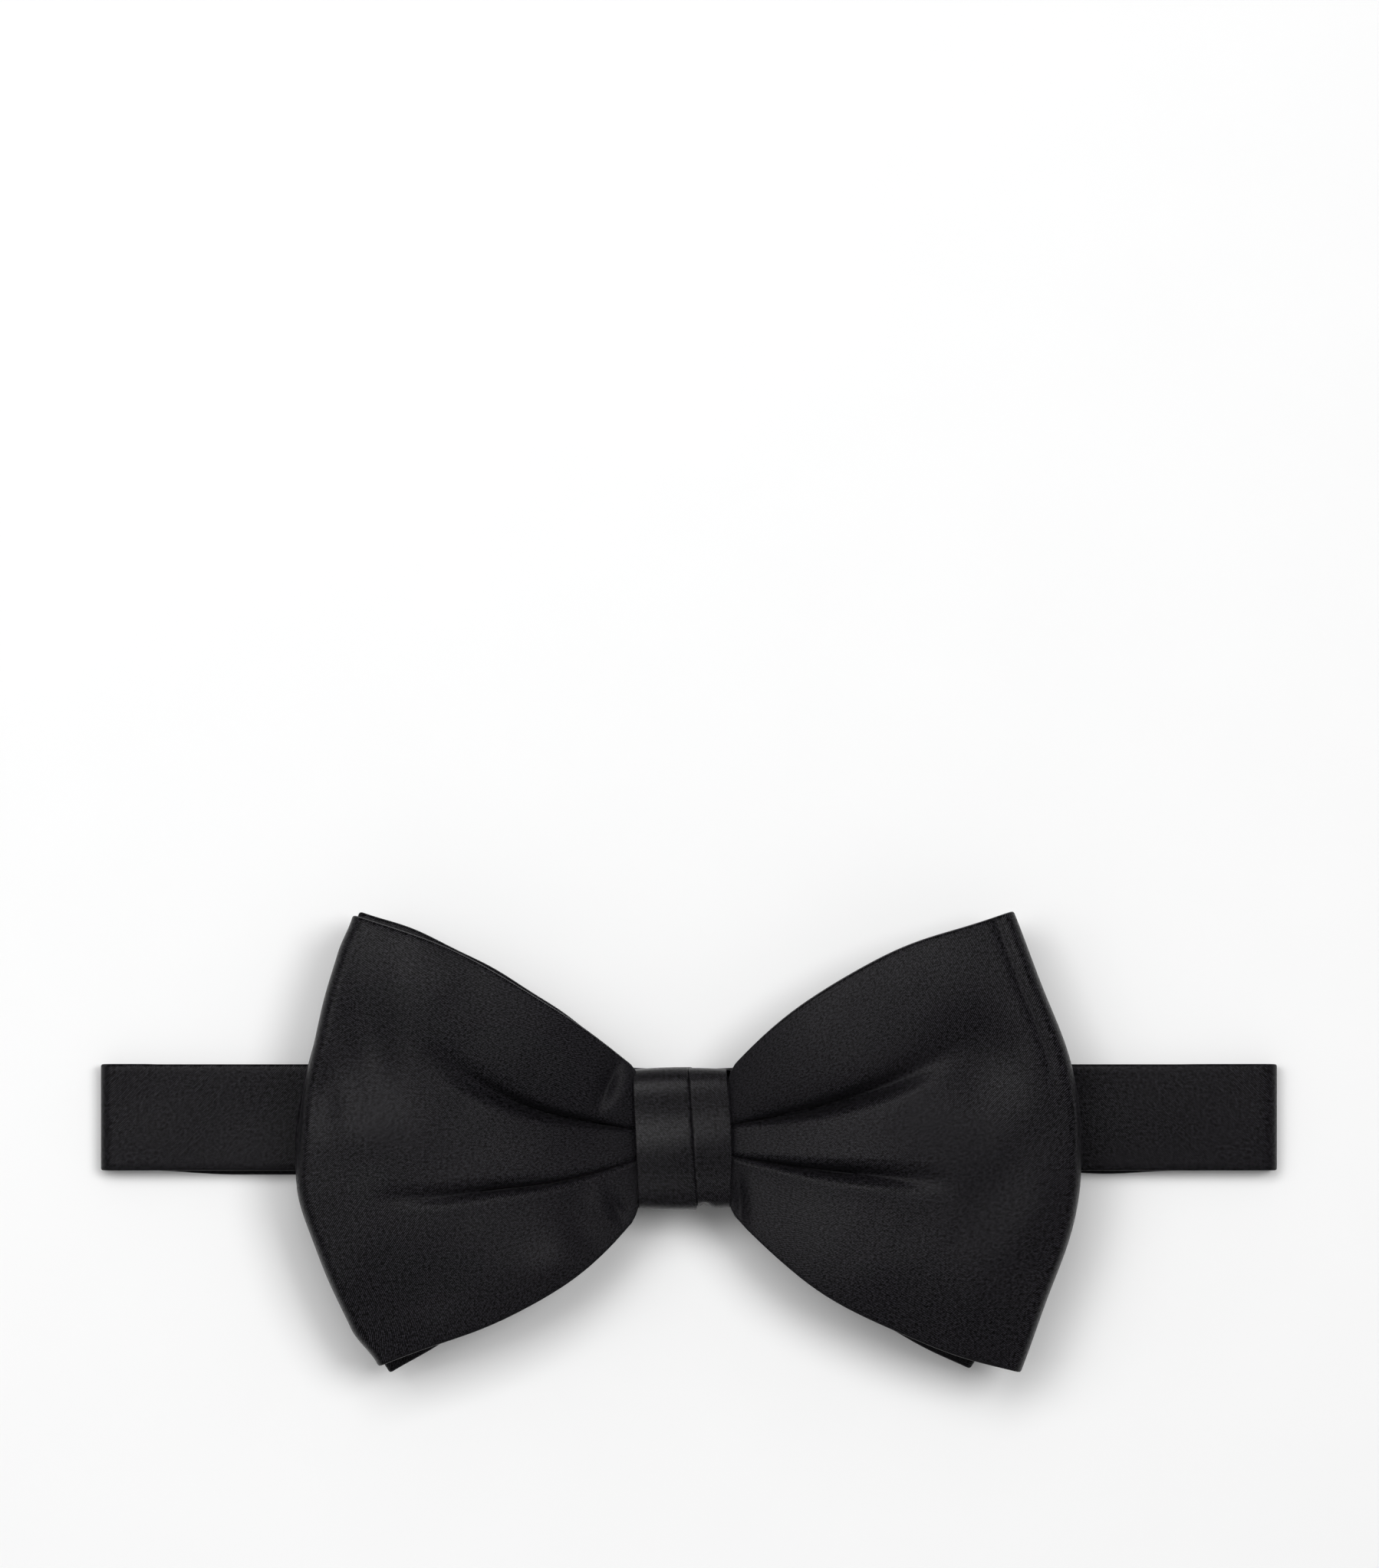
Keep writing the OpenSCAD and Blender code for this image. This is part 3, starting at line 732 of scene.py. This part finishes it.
def build_knot():
    """The strip round the waist: left layer, the pleat's turn under, its turn back, right layer."""
    ring = knot_section(KNOT_ROWS)
    tangent = unit(np.roll(ring, -1, 0) - np.roll(ring, 1, 0))
    outward = np.stack([tangent[:, 1], -tangent[:, 0]], axis=1)
    y = ring[:, :1] + knot_y + KNOT_LIFT
    front = smooth((ring[:, 1:] + 2) / 4)
    left = knot_lo[0] + lerp(0.2, 0.35 - 0.045 * (y - knot_y), front)
    right = knot_hi[0] - lerp(0.2, 0.25 + 0.0045 * (y + 2.5) ** 2, front)
    fold = lerp(knot_x + 1.3, 0.35 - 0.065 * y, front)
    under_fold = fold - PLEAT_LAP

    def run(start, stop, count):
        """A flat layer, from left to right or back, on every row."""
        return start + (stop - start) * np.linspace(0, 1, count)[None, :]

    def turn(centre, side, low, high):
        """A half turn of the cloth, from the upper layer to the lower, bulging to one side."""
        angle = np.radians(np.linspace(90, -90, 7)[1:-1])[None, :]
        x = centre + side * 0.10 * np.cos(angle)
        depth = (low + high) / 2 + (high - low) / 2 * np.sin(angle)
        return x, depth + 0 * x

    top, middle, bottom = LAYER_DEPTHS
    x_first = run(left, fold, 26)
    x_middle = run(fold, under_fold, 6)
    x_last = run(under_fold, right, 40)
    turn_out = turn(fold, 1, middle, top)
    turn_in = turn(under_fold, -1, bottom, middle)
    lift = smooth((x_last - (fold + 0.15)) / 0.45)
    depth_last = lerp(bottom, ALONE_DEPTH, lift)
    # Just past the fold the layer below is drawn up, which leaves a notch at the knot's lower edge.
    under = smooth((-outward[:, :1] - 0.5) / 0.4)
    depth_last = depth_last - 0.8 * under * np.exp(-(((x_last - fold - 1.5) / 1.0) ** 2))
    x = np.concatenate([x_first, turn_out[0], x_middle, turn_in[0], x_last], axis=1)
    depth = np.concatenate(
        [top + 0 * x_first, turn_out[1], middle + 0 * x_middle, turn_in[1], depth_last], axis=1
    )
    crown = 0.35 * ((x - knot_x) / 8.2) ** 2
    waves = 0.21 * np.sin((y + 3.05 - 0.08 * x) * 0.587)
    depth = depth - crown + waves * front
    yz = ring[:, None, :] + outward[:, None, :] * depth[..., None]
    points = np.stack([x, yz[..., 0] + knot_y + KNOT_LIFT, yz[..., 1] + knot_z], axis=2)
    obj = sheet("knot_wrap", points, KNOT_CLOTH, closed=True)
    return finish_cloth(obj, KNOT_SATIN, "bow", "knot_cover", "knot_interlining")


# ---- The neck band -------------------------------------------------------------------------


def arc(cx, cz, radius, start, stop, step=9.0):
    """Points of an arc in a side view, angles in degrees from +X towards +Z."""
    count = max(2, int(abs(stop - start) / step) + 1)
    angles = np.radians(np.linspace(start, stop, count))
    return [(cx + radius * math.cos(a), cz + radius * math.sin(a)) for a in angles]


def refine(path, step=1.2):
    """The same side view with no stretch longer than step."""
    points = [path[0]]
    for a, b in zip(path, path[1:]):
        count = max(1, int(math.hypot(b[0] - a[0], b[1] - a[1]) / step))
        points += [tuple(lerp(np.array(a), np.array(b), k / count)) for k in range(1, count + 1)]
    return np.array([p for k, p in enumerate(points) if k == 0 or math.dist(p, points[k - 1]) > 1e-6])


def strap(name, path, half_width, thickness, shift=None, seed=1, waves=0.035):
    """A flat strap that follows a side view of (x, z) points across the band.

    Shift moves it sideways. Waves is the height of its ripples, which fade out near the floor.
    """
    path = refine(path)
    v = np.linspace(-1, 1, 19)[None, :]
    x = path[:, :1] + 0 * v
    z = path[:, 1:] + 0 * v
    y = band_y + v * (half_width - thickness / 2) + 0 * x
    if shift is not None:
        y = y + shift(x, z, v)
    z = z + waves * ripples(x, y, seed, 15.0) * smooth((z - 0.2) / 1.0)
    return sheet(name, np.stack([x, y, z], axis=2), thickness)


# The front run's middle, the run on the floor half the band's thickness up, and the bends between them.
front_z = (run_lo[2] + run_hi[2]) / 2
floor_run_z = band_t / 2
bend_z = (front_z + floor_run_z) / 2
bend_r = (front_z - floor_run_z) / 2
bend_x = band_hi[0] - bend_r - band_t / 2
# Where the left half's strap ends and its sewn end takes over, and where the right bend ends.
SPLICE_X = 52.0
RIGHT_SPLICE_X = 94.3


def left_peek(x, z, v):
    """The half behind lies a little askew, so its lower edge shows beside the bow."""
    behind = smooth((2.0 - z) / 1.0)
    return pinch(x, z, v) - 0.75 * behind * smooth((x + 92) / 16)


def right_peek(x, z, v):
    """A slight bow in the adjustable half."""
    return -0.6 * np.exp(-(((x - 70) / 8) ** 2))


def pinch(x, z, v):
    """The front run is drawn in a little where the knot grips it."""
    front = smooth((z - 3.0) / 1.0)
    return -0.8 * front * smooth(v) * np.exp(-(((x - knot_x) / 15) ** 2))


def build_band():
    """The front run, the two bends and the left half, as two straps that meet behind the bow."""
    centre = [(0.0, front_z)]
    left = centre + arc(-bend_x, bend_z, bend_r, 90, 270) + [(-SPLICE_X, floor_run_z)]
    band_left = strap("band_left", left, band_half, band_t, left_peek, 21)
    finish_cloth(band_left, BAND_SATIN, None, "band_front_cover", "band_front_interlining",
                 "band_left_bend", "band_left_interlining")
    right = centre + arc(bend_x, bend_z, bend_r, 90, -90) + [(RIGHT_SPLICE_X, floor_run_z)]
    band_right = strap("band_right", right, band_half, band_t, pinch, 22)
    finish_cloth(band_right, BAND_SATIN, None, "band_right_bend")
    return band_left, band_right


def build_left_end():
    """The left half's end: round the eye's bar, and sewn down on itself."""
    top_z = left_hi[2] - band_t / 2
    radius = (top_z - floor_run_z) / 2
    turn_x = left_hi[0] - radius - band_t / 2
    tail_z = floor_run_z + band_t + 0.03
    path = [(-SPLICE_X - 5, floor_run_z + 0.02)]
    path += arc(turn_x, floor_run_z + radius, radius, -90, 90)
    path += [(turn_x - 1, top_z - 0.1), (turn_x - 2.2, top_z - 0.5), (turn_x - 3.6, tail_z + 0.25),
             (turn_x - 5, tail_z), (turn_x - 9, tail_z)]
    obj = strap("band_eye_end", path, band_half - 0.1, band_t - 0.06, left_peek, 23)
    return finish_cloth(obj, BAND_SATIN, "left_half", "band_left_cover")


def build_right_half():
    """The adjustable half: through the slider, round the hook's bar, and back to the slider."""
    slider_lo, slider_hi = node_box("slider")
    slider_x = (slider_lo[0] + slider_hi[0]) / 2
    strap_t = band_t - 0.02
    run_z = loop_lo[2] + band_t / 2
    return_z = loop_hi[2] - band_t / 2
    hook_r = (return_z - run_z) / 2
    hook_x = loop_lo[0] + hook_r + band_t / 2
    first = [(95.0, floor_run_z), (94.4, floor_run_z), (89.0, run_z), (slider_x - 4.5, run_z)]
    guide = strap("band_right_run", first, band_half, strap_t, right_peek, 24)
    finish_cloth(guide, BAND_SATIN, None, "band_right_cover")
    bar_r = (return_z - (return_lo[2] + band_t / 2)) / 2
    second = [(slider_x - 6.0, run_z + 0.01)]
    second += arc(hook_x, (run_z + return_z) / 2, hook_r, 270, 90)
    second += arc(slider_x, return_z - bar_r, bar_r, 90, -90)
    second += [(slider_x - 9.0, return_z - 2 * bar_r)]
    loop = strap("band_hook_loop", second, band_half, strap_t, None, 25, waves=0.0)
    finish_cloth(loop, BAND_SATIN, None, "band_right_loop", "band_right_return")
    return guide, loop, slider_x, hook_x


# ---- Putting it together -------------------------------------------------------------------


def cad_looks():
    """Better materials for the CAD nodes whose shape is right as it is."""
    finishes = {
        THREAD: (
            "waist_thread", "knot_seam_stitches", "bow_anchor_stitches", "eye_bar_tack", "slider_bar_tack",
        ),
        METAL: ("eye", "hook", "slider"),
    }
    for material, nodes in finishes.items():
        for node in nodes:
            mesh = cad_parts[node].data
            mesh.materials.clear()
            mesh.materials.append(material)


camera()
studio()
cad_looks()
front_loop, back_loop = build_loops()
knot = build_knot()
band_left, band_right = build_band()
eye_end = build_left_end()
right_run, hook_loop, slider_x, hook_x = build_right_half()

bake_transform(band_left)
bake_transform(band_right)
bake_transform(right_run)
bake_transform(hook_loop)
